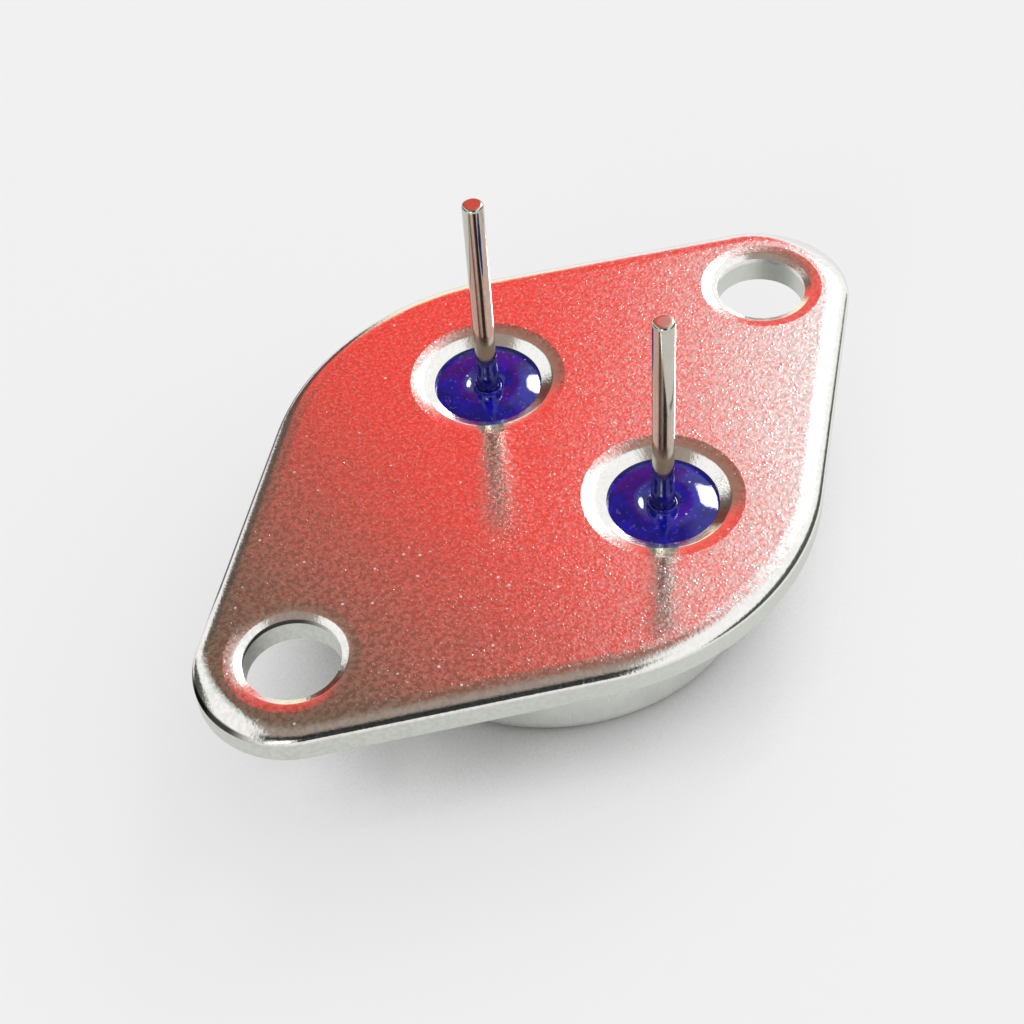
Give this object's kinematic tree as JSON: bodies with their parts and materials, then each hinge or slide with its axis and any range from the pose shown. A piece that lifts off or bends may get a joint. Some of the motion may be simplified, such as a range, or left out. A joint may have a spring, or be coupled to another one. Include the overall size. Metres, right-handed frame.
{
  "type": "power transistor",
  "caption": "Metal-can power transistor with a diamond-shaped mounting plate, blue glass seals and straight round leads; it amplifies or switches current.",
  "frame": {"origin": "centre of the plate's seating face, midway between the two mounting holes", "axes": "+X along the plate's long axis towards the mounting hole that the leads are nearer to, +Y towards the base lead, +Z out of the seating face, the way the leads point; the part lies on the top of its can"},
  "size_m": [0.0386, 0.025, 0.0182],
  "materials": {
    "plate_nickel": "satin",
    "can_nickel": "satin",
    "lead_nickel": "satin",
    "blue_glass": "gloss",
    "copper": "satin",
    "braze": "satin",
    "solder": "satin",
    "silicon": "gloss",
    "bond_wire": "satin"
  },
  "bodies": {
    "root": {"header_plate": "plate_nickel", "base_seal": "blue_glass", "emitter_seal": "blue_glass", "base_lead": "lead_nickel", "emitter_lead": "lead_nickel", "can": "can_nickel", "spreader_braze": "braze", "heat_spreader": "copper", "chip_solder": "solder", "silicon_chip": "silicon", "base_wire": "bond_wire", "emitter_wire_inner": "bond_wire", "emitter_wire_outer": "bond_wire"}
  },
  "joints": []
}
